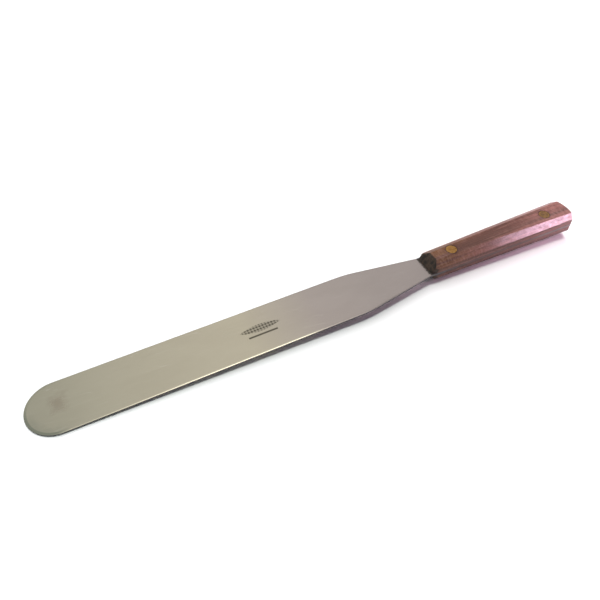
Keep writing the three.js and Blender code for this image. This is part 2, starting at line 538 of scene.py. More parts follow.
def is_outer_corner(edge):
    """True where two outer faces of the scale meet at a real angle."""
    heights = [co.z for co in edge_points(upper_scale, edge)]
    if max(heights) < scale_floor + NEAR_STEEL:
        return False
    first, second = scale_normals[edge.key]
    return first.angle(second) > CORNER_LEAST_ANGLE


enter_edit(upper_scale)
corner_count = select_where(upper_scale, "EDGE", is_outer_corner)
bpy.ops.mesh.bevel(
    offset=CORNER_ROUNDING, segments=4, affect="EDGES", clamp_overlap=True
)
bpy.ops.mesh.select_all(action="SELECT")
bpy.ops.mesh.remove_doubles(threshold=MERGE_DISTANCE)
leave_edit()
print("eased corners:", corner_count)

# %% [markdown]
# The scale is drilled for the shanks and bored wider on top for the rivet heads.
# The two sides of a handle are alike, so the second scale is a copy of the first,
# turned over about the length of the tool.

# %% Drill the scale and turn over a copy
SEAT_OVERRUN = 1 * MM

for x in rivet_places.values():
    drill(upper_scale, x, SHANK_RADIUS + SEAT_CLEARANCE, 0, handle_top)
    seat_floor = handle_top - HEAD_THICKNESS - SEAT_CLEARANCE
    seat_radius = HEAD_RADIUS + SEAT_CLEARANCE
    drill(upper_scale, x, seat_radius, seat_floor, handle_top + SEAT_OVERRUN, vertices=96)

select_only(upper_scale)
bpy.ops.object.duplicate(linked=False)
lower_scale = bpy.context.object
lower_scale.name = "rosewood_lower_scale"
lower_scale.matrix_world = Matrix.Rotation(math.pi, 4, "X")
bpy.ops.object.transform_apply(location=True, rotation=True, scale=True)
finish_piece(upper_scale, ["upper_scale"])
finish_piece(lower_scale, ["lower_scale"])

# %% [markdown]
# ## The rivets
# A cutler's rivet is two turned pieces: a post with a solid pin, and a socket
# with a tube. Pressed together through the handle, they hold by friction, and
# their heads are sanded flush with the wood. Each one starts as the disc of its
# head. Insets and extrusions of its faces then make the faint dish that is
# left on top and the pin or the tube below.

# %% A rivet head with its shank
POST_RADIUS = 1.3 * MM
POST_LENGTH = 14 * MM
BORE_RADIUS = 1.6 * MM
PRESS_GAP = 0.3 * MM
RIM_OF_HEAD = 0.7 * MM
DISH_DEPTH = 0.05 * MM
DISH_SLOPE = 0.6 * MM
HEAD_EASING = 0.1 * MM


def facing(piece, up):
    """Selects the flat end of an upright piece that faces up or down."""
    heights = [face.center.z * up for face in piece.data.polygons]
    top = max(heights)
    select_where(
        piece,
        "FACE",
        lambda face: face.normal.z * up > STRAIGHT and top - face.center.z * up < ON_THE_LINE,
    )


def turn_head(name):
    """A rivet head, flat side up, with its top at z = 0."""
    bpy.ops.object.select_all(action="DESELECT")
    bpy.ops.mesh.primitive_cylinder_add(
        vertices=96,
        radius=HEAD_RADIUS,
        depth=HEAD_THICKNESS,
        location=(0, 0, -HEAD_THICKNESS / 2),
    )
    head = bpy.context.object
    head.name = name
    bpy.ops.object.transform_apply(location=True)
    enter_edit(head)
    facing(head, 1)
    bpy.ops.mesh.bevel(offset=HEAD_EASING, segments=2, affect="EDGES")
    facing(head, 1)
    bpy.ops.mesh.inset(thickness=RIM_OF_HEAD, depth=0)
    bpy.ops.mesh.inset(thickness=DISH_SLOPE, depth=-DISH_DEPTH)
    return head


def make_post(name):
    """The head with a solid pin under it."""
    post = turn_head(name)
    facing(post, -1)
    bpy.ops.mesh.inset(thickness=HEAD_RADIUS - POST_RADIUS, depth=0)
    extrude(0, 0, -POST_LENGTH)
    leave_edit()
    return post


def make_socket(name):
    """The head with a tube under it, bored for the pin."""
    socket = turn_head(name)
    tube_length = 2 * (handle_top - HEAD_THICKNESS) - PRESS_GAP
    facing(socket, -1)
    bpy.ops.mesh.inset(thickness=HEAD_RADIUS - SHANK_RADIUS, depth=0)
    extrude(0, 0, -tube_length)
    bpy.ops.mesh.inset(thickness=SHANK_RADIUS - BORE_RADIUS, depth=0)
    extrude(0, 0, POST_LENGTH)
    leave_edit()
    return socket


print("a head is", round(2 * HEAD_RADIUS / MM, 1), "mm wide")

# %% [markdown]
# The post goes in from above. The socket is turned over and comes from below, so
# that its tube closes round the pin.

# %% Both rivets, each in two halves
rivets = []
for place, x in rivet_places.items():
    post = make_post("brass_" + place + "_rivet_post")
    post.matrix_world = Matrix.Translation((x, 0, handle_top))
    socket = make_socket("brass_" + place + "_rivet_socket")
    over = Matrix.Rotation(math.pi, 4, "X")
    socket.matrix_world = Matrix.Translation((x, 0, -handle_top)) @ over
    for piece, half in ((post, "_rivet_post"), (socket, "_rivet_socket")):
        bpy.context.view_layer.update()
        finish_piece(piece, [place + half])
        rivets.append(piece)

# %% [markdown]
# ## Materials
# The tool has five finishes: the satin face of the blade, its darker sheared
# edge, the lacquered side grain and the end grain of the rosewood, and brass.
# Each is a tree of nodes that ends in one Principled shader. To build the trees
# in code, one helper adds a node and another feeds a socket from a second node
# or sets it to a plain value. Patterns are counted in millimetres from the tip.

# %% Nodes and sockets
blade_end = BLADE_LENGTH / MM
handle_end = HANDLE_END / MM
half_width = blade_radius / MM


def add_node(tree, kind, **settings):
    node = tree.nodes.new(kind)
    for key, value in settings.items():
        setattr(node, key, value)
    return node


def plug(tree, value, socket):
    """Feeds a socket from another socket, or sets it to a plain value."""
    if isinstance(value, bpy.types.NodeSocket):
        tree.links.new(value, socket)
    elif isinstance(value, tuple) and socket.type == "RGBA":
        socket.default_value = (*value, 1)
    else:
        socket.default_value = value


def new_material(name):
    material = bpy.data.materials.new(name)
    material.use_nodes = True
    return material, material.node_tree


def dress(tree, settings):
    """Gives the shader its patterns and numbers, each by the name of its socket."""
    shader = tree.nodes["Principled BSDF"]
    for name, value in settings.items():
        plug(tree, value, shader.inputs[name])
    print("nodes in this finish:", len(tree.nodes))


print("the patterns run from 0 mm at the tip to", round(handle_end), "mm at the butt")

# %% [markdown]
# ### Masks
# A mask is a number from 0 to 1 at every point, which says how much of an effect
# the point gets. Multiplying two masks keeps what both let through. A Map Range
# node stretches any measure, such as a distance, into a mask with a soft edge.

# %% Arithmetic with masks


def math_node(tree, operation, *values, kind="ShaderNodeMath", output="Value"):
    """One step of arithmetic on one or two values."""
    node = add_node(tree, kind, operation=operation)
    for value, socket in zip(values, node.inputs):
        plug(tree, value, socket)
    return node.outputs[output]


def vector_node(tree, operation, *values, output="Vector"):
    return math_node(tree, operation, *values, kind="ShaderNodeVectorMath", output=output)


def product(tree, *values):
    """Multiplies masks and numbers together."""
    return reduce(lambda a, b: math_node(tree, "MULTIPLY", a, b), values)


def total(tree, *values):
    """Adds masks and numbers together."""
    return reduce(lambda a, b: math_node(tree, "ADD", a, b), values)


def remap(tree, value, low, high, out_low=0.0, out_high=1.0):
    """Stretches low..high to out_low..out_high, and stops at both ends."""
    node = add_node(tree, "ShaderNodeMapRange", clamp=True, interpolation_type="SMOOTHSTEP")
    numbers = {"From Min": low, "From Max": high, "To Min": out_low, "To Max": out_high}
    for name, number in numbers.items():
        plug(tree, number, node.inputs[name])
    plug(tree, value, node.inputs["Value"])
    return node.outputs["Result"]


def fade(tree, value, low, high):
    """1 up to low, and 0 from high on."""
    return remap(tree, value, low, high, 1.0, 0.0)


# %% [markdown]
# ### Colour, relief and place
# A colour is built as a painter builds it: a ground tone, then thin layers, each
# let through by its mask. A Bump node turns a height into fine relief that the
# light sees, with no change to the mesh. A Mapping node lays the piece's own
# coordinates level, so that grain and polishing lines run along the tool.

# %% Layers of colour, relief and level coordinates


def ramp(tree, factor, stops):
    """A colour ramp with stops given as (position, colour)."""
    node = add_node(tree, "ShaderNodeValToRGB")
    elements = node.color_ramp.elements
    elements[1].position = stops[-1][0]
    elements[0].position = stops[0][0]
    for position, _ in stops[1:-1]:
        elements.new(position)
    for index, (_, colour) in enumerate(stops):
        elements[index].color = (*colour, 1)
    plug(tree, factor, node.inputs["Fac"])
    return node.outputs["Color"]


def mix_colour(tree, factor, first, second, blend="MIX"):
    """Lays the second colour over the first, as much as the factor says."""
    node = add_node(tree, "ShaderNodeMix", data_type="RGBA", blend_type=blend)
    plug(tree, factor, node.inputs[0])
    plug(tree, first, node.inputs[6])
    plug(tree, second, node.inputs[7])
    return node.outputs[2]


def lay_over(tree, colour, layers):
    """Lays thin layers on a colour, each given as (mask, strength, colour)."""
    for mask, strength, paint in layers:
        colour = mix_colour(tree, product(tree, mask, strength), colour, paint)
    return colour


def bump(tree, height, distance):
    node = add_node(tree, "ShaderNodeBump")
    node.inputs["Strength"].default_value = 1
    node.inputs["Distance"].default_value = distance
    plug(tree, height, node.inputs["Height"])
    return node.outputs["Normal"]


def level_coordinates(tree):
    """Object coordinates laid level, in millimetres from the tip of the blade."""
    coordinates = add_node(tree, "ShaderNodeTexCoord")
    mapping = add_node(tree, "ShaderNodeMapping", vector_type="POINT")
    mapping.inputs["Rotation"].default_value = to_level.to_euler()
    mapping.inputs["Location"].default_value = to_level.translation / MM
    mapping.inputs["Scale"].default_value = (1 / MM, 1 / MM, 1 / MM)
    plug(tree, coordinates.outputs["Object"], mapping.inputs["Vector"])
    vector = mapping.outputs["Vector"]
    split = add_node(tree, "ShaderNodeSeparateXYZ")
    plug(tree, vector, split.inputs["Vector"])
    return vector, split.outputs["X"], split.outputs["Y"], split.outputs["Z"]


# %% [markdown]
# ### Shared patterns
# Fibres in wood, polishing lines on steel and clouds of tarnish on brass are all
# noise, stretched to a length and a width. Scratches are the thin lines where a
# second noise passes through its middle value. Several finishes use them, so
# each is a node group, built once. A third group measures how far a point is
# from the nearer rivet, for the brass and for the dark ring in the wood.

# %% Parts of a node group


def new_group(name, inputs, output):
    """A group that takes a Vector and named numbers, and gives one value."""
    group = bpy.data.node_groups.new(name, "ShaderNodeTree")
    group.interface.new_socket("Vector", in_out="INPUT", socket_type="NodeSocketVector")
    for label, value in inputs.items():
        socket = group.interface.new_socket(
            label, in_out="INPUT", socket_type="NodeSocketFloat"
        )
        socket.default_value = value
    group.interface.new_socket(output, in_out="OUTPUT", socket_type="NodeSocketFloat")
    entrance = add_node(group, "NodeGroupInput")
    way_out = add_node(group, "NodeGroupOutput")
    return group, entrance.outputs, way_out.inputs[output]


def stretch(tree, vector, length, width, seed):
    """Divides a vector by a length and a width, and shifts it by a seed."""
    sizes = add_node(tree, "ShaderNodeCombineXYZ")
    plug(tree, length, sizes.inputs["X"])
    plug(tree, width, sizes.inputs["Y"])
    plug(tree, width, sizes.inputs["Z"])
    shrunk = vector_node(tree, "DIVIDE", vector, sizes.outputs["Vector"])
    return vector_node(tree, "ADD", shrunk, seed)


def noise(tree, place, detail, scale=1):
    node = add_node(tree, "ShaderNodeTexNoise")
    node.inputs["Scale"].default_value = scale
    plug(tree, place, node.inputs["Vector"])
    plug(tree, detail, node.inputs["Detail"])
    return node.outputs["Fac"]


# %% [markdown]
# Each group reads its Vector and its numbers from its input, so every material
# can place it with values of its own.

# %% Three node groups
BREAKS_SCALE = 2.3


def build_grain_group():
    group, given, result = new_group(
        "stretched_grain",
        {"Length": 10, "Width": 1, "Detail": 3, "Seed": 0, "Low": 0.35, "High": 0.65},
        "Mask",
    )
    place = stretch(group, given["Vector"], given["Length"], given["Width"], given["Seed"])
    fibres = noise(group, place, given["Detail"])
    plug(group, remap(group, fibres, given["Low"], given["High"]), result)
    return group


def build_scratch_group():
    group, given, result = new_group(
        "fine_scratches",
        {"Length": 30, "Width": 2, "Angle": 0, "Seed": 0, "Fineness": 0.02, "Amount": 0.5},
        "Mask",
    )
    turn = add_node(group, "ShaderNodeVectorRotate", rotation_type="Z_AXIS")
    plug(group, given["Vector"], turn.inputs["Vector"])
    plug(group, given["Angle"], turn.inputs["Angle"])
    turned = turn.outputs["Vector"]
    place = stretch(group, turned, given["Length"], given["Width"], given["Seed"])
    from_middle = math_node(group, "SUBTRACT", noise(group, place, 1), 0.5)
    thin = fade(group, math_node(group, "ABSOLUTE", from_middle), 0.0, given["Fineness"])
    start = math_node(group, "SUBTRACT", 0.9, given["Amount"])
    end = math_node(group, "ADD", start, 0.15)
    kept = remap(group, noise(group, place, 1, BREAKS_SCALE), start, end)
    plug(group, product(group, thin, kept), result)
    return group


def build_rivet_group():
    group, given, result = new_group("rivet_distance", {}, "Distance")
    distances = []
    for x in rivet_places.values():
        from_rivet = vector_node(group, "SUBTRACT", given["Vector"], (x / MM, 0, 0))
        flat = vector_node(group, "MULTIPLY", from_rivet, (1, 1, 0))
        distances.append(vector_node(group, "LENGTH", flat, output="Value"))
    plug(group, math_node(group, "MINIMUM", *distances), result)
    return group


grain_group = build_grain_group()
scratch_group = build_scratch_group()
rivet_group = build_rivet_group()
print("node groups:", [group.name for group in (grain_group, scratch_group, rivet_group)])

# %% Placing the groups in a material


def use_group(tree, group, vector, values):
    """Places a group in a material, with values of its own."""
    node = add_node(tree, "ShaderNodeGroup", node_tree=group)
    plug(tree, vector, node.inputs["Vector"])
    for label, value in values.items():
        plug(tree, value, node.inputs[label])
    return node.outputs[0]


def grain(tree, vector, length, width, seed, detail=3, low=0.35, high=0.65):
    """Noise drawn out to a length along the tool and a width across it."""
    sizes = {"Length": length, "Width": width, "Seed": seed}
    tones = {"Detail": detail, "Low": low, "High": high}
    return use_group(tree, grain_group, vector, sizes | tones)


def ragged(tree, vector, measure, length, width, seed, spread):
    """Adds noise to a measure, so that the mask made of it gets an uneven outline."""
    return total(tree, measure, product(tree, grain(tree, vector, length, width, seed), spread))


def scratch_lines(tree, vector, length, width, angle, seed, fineness, amount):
    """Thin broken lines, turned by an angle from the length of the tool."""
    sizes = {"Length": length, "Width": width, "Angle": angle, "Seed": seed}
    tones = {"Fineness": fineness, "Amount": amount}
    return use_group(tree, scratch_group, vector, sizes | tones)


# %% [markdown]
# ### The ornament on the blade
# Such a blade is etched with acid, which leaves the mark dark and a hair deep. A
# plain ornament stands here, a lens of crossed lines over a bar. Two sine waves
# across each other make the hatching, at no cost in faces.

# %% The ornament
MARK_X, MARK_Y = 164, 1.6
MARK_HALF_LENGTH, MARK_HALF_HEIGHT = 16.5, 3.4
BAR_HALF_LENGTH, BAR_HALF_HEIGHT, BAR_DROP = 11, 0.75, 6.2
HATCH_PITCH = 1.35


def wave(tree, value):
    return math_node(tree, "SINE", product(tree, value, HATCH_PITCH))


def etched_ornament(tree, x, y, z):
    """A lens of crossed lines over one plain bar, on the upper face only."""
    u = math_node(tree, "SUBTRACT", x, MARK_X)
    v = math_node(tree, "SUBTRACT", y, MARK_Y)
    along = math_node(tree, "POWER", math_node(tree, "DIVIDE", u, MARK_HALF_LENGTH), 2)
    height = product(tree, math_node(tree, "SUBTRACT", 1, along), MARK_HALF_HEIGHT)
    inside = math_node(tree, "SUBTRACT", height, math_node(tree, "ABSOLUTE", v))
    lens = remap(tree, inside, 0, 0.3)
    rising = wave(tree, total(tree, u, v))
    falling = wave(tree, math_node(tree, "SUBTRACT", u, v))
    hatch = remap(tree, product(tree, rising, falling), -0.3, 0.2, 1.0, 0.3)
    low = math_node(tree, "ABSOLUTE", math_node(tree, "ADD", v, BAR_DROP))
    bar = product(
        tree,
        fade(tree, low, BAR_HALF_HEIGHT - 0.15, BAR_HALF_HEIGHT + 0.15),
        fade(tree, math_node(tree, "ABSOLUTE", u), BAR_HALF_LENGTH, BAR_HALF_LENGTH + 0.4),
    )
    mark = math_node(tree, "MAXIMUM", product(tree, lens, hatch), bar)
    return product(tree, mark, remap(tree, z, 0, 0.2))


print("the ornament is", 2 * MARK_HALF_LENGTH, "mm long")

# %% [markdown]
# ### Marks of use, and a painted glint
# The tip scrapes bowls and cake boards. Its rim is painted darker, a soft dim
# patch lies inside it, and a brown smudge has dried behind it. Along the near
# side a glint of the lamp is painted bright on the rim, and past the ornament the
# rim is dull up to the neck. Each mark is a distance, or a place along the tool,
# turned into a mask.

# %% Masks for the marks of use
RIM_BAND = 2.0
SMUDGE = (21.5, 3.4, 0.6)


def tip_masks(tree, vector, x, y):
    """The dim patch inside the rim, the darker rim and the smudge."""
    from_centre = vector_node(tree, "DISTANCE", vector, (half_width, 0, 0), output="Value")
    from_smudge = vector_node(tree, "DISTANCE", vector, SMUDGE, output="Value")
    towards_rim = ragged(tree, vector, from_centre, 7, 5, 13, 3)
    dim = product(
        tree,
        remap(tree, towards_rim, half_width - 7, half_width - 1),
        fade(tree, x, 8, 30),
        fade(tree, y, -8, 4),
    )
    rim = product(
        tree,
        remap(tree, from_centre, half_width - RIM_BAND, half_width - RIM_BAND + 0.3),
        fade(tree, x, 16, 26),
        remap(tree, y, -4, 12, 1.0, 0.25),
    )
    return dim, rim, fade(tree, ragged(tree, vector, from_smudge, 9, 7, 2, 5), 1, 13)


def side_masks(tree, x, y):
    """The rounded rim along the sides: where it is dull, and where a glint of the lamp is
    painted on it.
    """
    past_shoulder = math_node(tree, "SUBTRACT", x, SHOULDER_X / MM)
    narrowing = product(tree, math_node(tree, "MAXIMUM", past_shoulder, 0), NECK_SLOPE)
    beyond = total(tree, math_node(tree, "ABSOLUTE", y), narrowing)
    on_rim = remap(tree, beyond, half_width - 1.2, half_width - 0.8)
    dull = product(tree, on_rim, remap(tree, x, 195, 215), fade(tree, x, 262, 276))
    # The bright near rim is a painted highlight: the glint of the lamp, from 50 to 210 mm.
    glint_span = product(tree, remap(tree, x, 50, 140, 0.1, 0.9), fade(tree, x, 185, 210))
    return dull, product(tree, on_rim, glint_span, fade(tree, y, -5, 5))


# %% [markdown]
# ### Satin steel
# The faces are ground lengthwise and then blasted a little, so they shine softly
# and never mirror. Warm hands and washing leave a faint tint that changes along
# the blade: greener at the tip, straw in the middle and greyer at the shoulder.
# The same ramp is painted darker at the tip and brightest in the middle, as
# painted sheen. A dark line is painted where the blade meets the wood: partly
# old icing, partly the painted shadow and reflection of the handle's dark nose.

# %% The faces of the blade


def make_satin_steel():
    material, tree = new_material("satin_steel")
    vector, x, y, z = level_coordinates(tree)
    # The tint also carries painted sheen: darker at the tip and brightest in the middle.
    tint_and_sheen = ramp(tree, math_node(tree, "DIVIDE", x, blade_end), [
        (0.0, (0.41, 0.40, 0.32)),
        (0.2, (0.52, 0.49, 0.39)),
        (0.5, (0.63, 0.58, 0.46)),
        (0.68, (0.54, 0.48, 0.45)),
        (0.85, (0.535, 0.475, 0.455)),
        (1.0, (0.57, 0.50, 0.485)),
    ])
    clouds = grain(tree, vector, 34, 15, 3, detail=2)
    brushing = grain(tree, vector, 26, 0.16, 8)
    scratches = scratch_lines(tree, vector, 55, 5, 0.12, 0, fineness=0.012, amount=0.42)
    hairlines = scratch_lines(tree, vector, 30, 4, -0.5, 5, fineness=0.01, amount=0.38)
    dim, tip_rim, smudge = tip_masks(tree, vector, x, y)
    dull_rim, painted_glint_rim = side_masks(tree, x, y)
    mark = etched_ornament(tree, x, y, z)
    # A dark line by the wood: partly old icing, partly the painted shadow and reflection of the
    # nose.
    near_wood = ragged(tree, vector, x, 2, 2.5, 6, 1)
    icing_and_nose_shade = remap(tree, near_wood, blade_end - 1.6, blade_end - 0.2)

    cloudy = product(tree, clouds, 0.5)
    colour = mix_colour(tree, cloudy, tint_and_sheen, (0.95, 0.945, 0.94), "MULTIPLY")
    brushed = product(tree, brushing, 0.35)
    colour = mix_colour(tree, brushed, colour, (0.95, 0.95, 0.95), "MULTIPLY")
    colour = lay_over(tree, colour, [
        (dim, 0.35, (0.27, 0.285, 0.235)),
        (tip_rim, 0.85, (0.23, 0.25, 0.20)),
        (smudge, 0.38, (0.27, 0.21, 0.165)),
        (dull_rim, 0.15, (0.20, 0.18, 0.16)),
        (painted_glint_rim, 1, (0.98, 0.94, 0.76)),
        (mark, 0.9, (0.10, 0.09, 0.07)),
        (icing_and_nose_shade, 0.85, (0.05, 0.045, 0.04)),
        (scratches, 0.12, (0.80, 0.78, 0.74)),
    ])
    rough = total(
        tree,
        remap(tree, clouds, 0, 1, 0.215, 0.235),
        product(tree, painted_glint_rim, -0.07),
        product(tree, brushing, 0.03),
        product(tree, math_node(tree, "MAXIMUM", scratches, hairlines), -0.05),
        product(tree, mark, 0.12),
        product(tree, icing_and_nose_shade, 0.25),
        product(tree, smudge, 0.05),
    )
    height = total(
        tree,
        product(tree, brushing, 0.5),
        product(tree, scratches, -0.4),
        product(tree, hairlines, -0.4),
        product(tree, mark, -2.0),
    )
    relief = bump(tree, height, 0.003 * MM)
    dress(tree, {"Base Color": colour, "Roughness": rough, "Metallic": 1, "Normal": relief})
    return material


satin_steel = make_satin_steel()

# %% [markdown]
# ### Edge steel
# The wall of the sheet was sheared and then rounded, and nobody polishes it. It
# is dull, and dark partly from handling and partly as painted shade, since a bare
# wall would mirror the white table. It is browner where it shows as a stripe
# between the scales, and painted paler near the butt as a painted highlight of the lamp.

# %% The edge of the steel


def make_edge_steel():
    material, tree = new_material("dark_edge_steel")
    vector, x, *_ = level_coordinates(tree)
    streaks = grain(tree, vector, 9, 0.25, 11)
    patches = grain(tree, vector, 16, 6, 4)
    # The dark ground is partly handling and partly painted shade: a bare wall would mirror the
    # white table.
    dark = mix_colour(tree, streaks, (0.085, 0.080, 0.088), (0.13, 0.12, 0.125))
    colour = lay_over(tree, dark, [
        (remap(tree, x, blade_end + 4, blade_end + 30), 1, (0.14, 0.078, 0.070)),
        # Paler near the butt: a painted highlight, the glint of the lamp on the tang.
        (remap(tree, x, handle_end - 60, handle_end - 15), 1, (0.25, 0.19, 0.19)),
        (patches, 0.35, (0.06, 0.05, 0.045)),
    ])
    rough = remap(tree, streaks, 0, 1, 0.42, 0.58)
    relief = bump(tree, streaks, 0.01 * MM)
    dress(tree, {"Base Color": colour, "Roughness": rough, "Metallic": 0.4, "Normal": relief})
    return material


edge_steel = make_edge_steel()

# %% [markdown]
# ### Rosewood
# Side grain shows as dark growth streaks, fine open pores drawn out along the
# handle, and small pale flecks across them. One dark streak of heartwood runs
# down the middle from the front rivet. The walls and the long bevels are painted
# paler than the flat faces: painted light, for how the lamps fall on them. A thin
# lacquer lies on top. It keeps its gloss on the near side and at the butt, and
# it sinks in over open pores.

# %% Where the handle is pale, dark or glossy


def bevel_mask(tree, x, y, on_walls):
    """The long bevels: past the top's edge, which spreads towards the butt."""
    widening = (TOP_HALF_BUTT - TOP_HALF_FRONT) / (HANDLE_END - NOSE_TOP_X)
    past_nose = math_node(tree, "SUBTRACT", x, NOSE_TOP_X / MM)
    out = math_node(tree, "ABSOLUTE", y)
    beyond_top = total(tree, out, product(tree, past_nose, -widening))
    top_edge = TOP_HALF_FRONT / MM
    return product(
        tree,
        remap(tree, beyond_top, top_edge - 0.4, top_edge + 0.4),
        math_node(tree, "SUBTRACT", 1, on_walls),
        remap(tree, x, blade_end + 15, blade_end + 50),
    )


def heart_mask(tree, vector, x, y):
    """The dark streak down the middle, from the front rivet to half-way."""
    from_heart = ragged(tree, vector, math_node(tree, "ABSOLUTE", y), 40, 2.5, 31, 4)
    length = product(tree, remap(tree, x, 318, 338), fade(tree, x, 375, 430))
    return product(tree, fade(tree, from_heart, 4, 8), length)


def ring_mask(tree, vector):
    """A dark ring round each rivet."""
    distance = use_group(tree, rivet_group, vector, {})
    return fade(tree, ragged(tree, vector, distance, 1.5, 1.2, 17, 0.8), 4.7, 6.2)


# %% The side grain


def make_side_grain():
    material, tree = new_material("lacquered_rosewood")
    vector, x, y, z = level_coordinates(tree)
    tone = ramp(tree, remap(tree, x, blade_end, handle_end), [
        (0.0, (0.145, 0.068, 0.032)),
        (0.3, (0.148, 0.064, 0.048)),
        (0.7, (0.200, 0.080, 0.066)),
        (1.0, (0.260, 0.115, 0.100)),
    ])
    up = math_node(tree, "ABSOLUTE", z)
    on_walls = fade(tree, up, 4.3, 6.3)
    growth = grain(tree, vector, 75, 2.2, 1, detail=4, low=0.46, high=0.66)
    heart = grain(tree, vector, 110, 5, 14, low=0.5, high=0.68)
    pale = grain(tree, vector, 60, 1.3, 21, low=0.5, high=0.75)
    pores = grain(tree, vector, 5, 0.22, 5, detail=2, low=0.54, high=0.66)
    flecks = grain(tree, vector, 1.5, 4, 9, low=0.42, high=0.64)
    nose = fade(tree, x, NOSE_TOP_X / MM - 2, NOSE_TOP_X / MM + 3)
    colour = lay_over(tree, tone, [
        # Painted light: the walls and the bevels are lighter for how the lamps fall on them.
        (on_walls, 0.30, (0.27, 0.125, 0.11)),
        (bevel_mask(tree, x, y, on_walls), 0.3, (0.36, 0.15, 0.13)),
        (growth, 0.75, (0.085, 0.043, 0.036)),
        (heart, 0.55, (0.070, 0.038, 0.032)),
        (pale, 0.45, (0.36, 0.19, 0.15)),
        (flecks, 0.22, (0.40, 0.22, 0.19)),
        (heart_mask(tree, vector, x, y), 0.75, (0.075, 0.034, 0.026)),
        (pores, 0.6, (0.055, 0.028, 0.022)),
        (ring_mask(tree, vector), 0.9, (0.030, 0.019, 0.016)),
        (fade(tree, up, 1.12, 1.5), 0.5, (0.05, 0.032, 0.03)),
        (nose, 0.45, (0.06, 0.04, 0.03)),
    ])
    off_walls = remap(tree, on_walls, 0, 1, 1.0, 0.2)
    to_butt = remap(tree, x, blade_end + 30, handle_end - 6, 0.15, 1.0)
    polish = product(tree, off_walls, to_butt)
    rough = total(
        tree,
        remap(tree, polish, 0, 1, 0.52, 0.27),
        product(tree, pores, 0.18),
        product(tree, flecks, 0.12),
    )
    near_side = remap(tree, y, -3, 3, 1.0, 0.1)
    closed = total(tree, 1.0, product(tree, pores, -0.4), product(tree, flecks, -0.5))
    height = total(
        tree, product(tree, pores, -1.0), product(tree, flecks, 0.8), product(tree, growth, 0.3)
    )
    dress(tree, {
        "Base Color": colour,
        "Roughness": rough,
        "Specular IOR Level": 0.2,
        "Coat Weight": product(tree, polish, near_side, closed),
        "Coat Roughness": 0.2,
        "Coat IOR": 1.6,
        "Normal": bump(tree, height, 0.03 * MM),
    })
    return material


side_grain = make_side_grain()

# %% [markdown]
# ### End grain
# Cut across, wood drinks more finish and more dirt, so the nose and the butt are
# much darker than the sides and their pores are dots. The nose is the darkest,
# and only the small facet on its near corner is browner.

# %% The end grain


def make_end_grain():
    material, tree = new_material("rosewood_end_grain")
    vector, x, y, _ = level_coordinates(tree)
    pores = grain(tree, vector, 0.5, 0.4, 12, detail=2, low=0.5, high=0.62)
    layers = grain(tree, vector, 9, 2.6, 7, detail=2, low=0.38, high=0.66)
    middle = (blade_end + handle_end) / 2
    at_butt = remap(tree, x, middle - 10, middle + 10)
    light = mix_colour(tree, at_butt, (0.060, 0.040, 0.028), (0.17, 0.080, 0.062))
    dark = mix_colour(tree, at_butt, (0.016, 0.014, 0.011), (0.065, 0.034, 0.027))
    near_corner = product(tree, fade(tree, y, -9.2, -8.2), fade(tree, x, middle - 10, middle))
    colour = lay_over(tree, mix_colour(tree, layers, light, dark), [
        (near_corner, 0.7, (0.060, 0.030, 0.020)),
        (pores, 0.5, (0.012, 0.009, 0.008)),
    ])
    height = math_node(tree, "MULTIPLY", pores, -1.0)
    dress(tree, {
        "Base Color": colour,
        "Roughness": remap(tree, pores, 0, 1, 0.5, 0.7),
        "Specular IOR Level": 0.25,
        "Coat Weight": remap(tree, pores, 0, 1, 0.15, 0.02),
        "Coat Roughness": 0.3,
        "Normal": bump(tree, height, 0.05 * MM),
    })
    return material


end_grain = make_end_grain()

# %% [markdown]
# ### Brass
# The heads were sanded together with the wood, so fine straight scratches cross
# them. Fingers have tarnished the hollow middle browner than the rim. On the rear
# rivet the brown middle is heavier and patchy, and the brass between the patches
# is paler: partly tarnish, partly a painted pink reflection and painted highlights.

# %% The rivets' finish


def make_brass():
    material, tree = new_material("tarnished_brass")
    vector, x, *_ = level_coordinates(tree)
    distance = use_group(tree, rivet_group, vector, {})
    clouds = grain(tree, vector, 2.4, 1.8, 19)
    sanding = grain(tree, vector, 6, 0.12, 23, detail=2)
    scratches = scratch_lines(tree, vector, 6, 1, 0.4, 2, fineness=0.02, amount=0.5)
    middle = sum(rivet_places.values()) / 2 / MM
    # On the rear rivet: a painted pink reflection in the middle and painted highlights between
    # the patches.
    rear_painted_reflection = remap(tree, x, middle - 5, middle + 5)
    hollow = fade(tree, distance, 2.9, 3.6)
    patches = remap(tree, clouds, 0.2, 0.8, 1.0, 0.35)
    tarnish_and_reflection = product(tree, hollow, remap(tree, rear_painted_reflection, 0, 1, 0.15, 0.85), patches)
    rim = remap(tree, distance, HEAD_RADIUS / MM - 0.35, HEAD_RADIUS / MM - 0.05)
    bright = mix_colour(tree, clouds, (0.48, 0.23, 0.06), (0.60, 0.32, 0.105))
    colour = lay_over(tree, bright, [
        (rear_painted_reflection, 0.6, (0.66, 0.40, 0.18)),
        (tarnish_and_reflection, 1, (0.30, 0.165, 0.11)),
        (sanding, 0.2, (0.60, 0.36, 0.14)),
        (rim, 0.7, (0.16, 0.09, 0.045)),
    ])
    rough = total(tree, remap(tree, clouds, 0, 1, 0.26, 0.34), product(tree, tarnish_and_reflection, 0.12))
    height = total(tree, sanding, product(tree, scratches, -1.5))
    relief = bump(tree, height, 0.006 * MM)
    dress(tree, {"Base Color": colour, "Roughness": rough, "Metallic": 1, "Normal": relief})
    return material


brass = make_brass()

# %% [markdown]
# ### Which face gets which finish
# A steel face that looks sideways is edge, and the rest is satin. A wooden face
# that looks forward or back is end grain. Directions are enough to tell them
# apart, so the faces are chosen by their normals.

# %% Give every face its finish
SIDEWAYS = 0.6
FORWARD = -0.3
BACK = 0.6


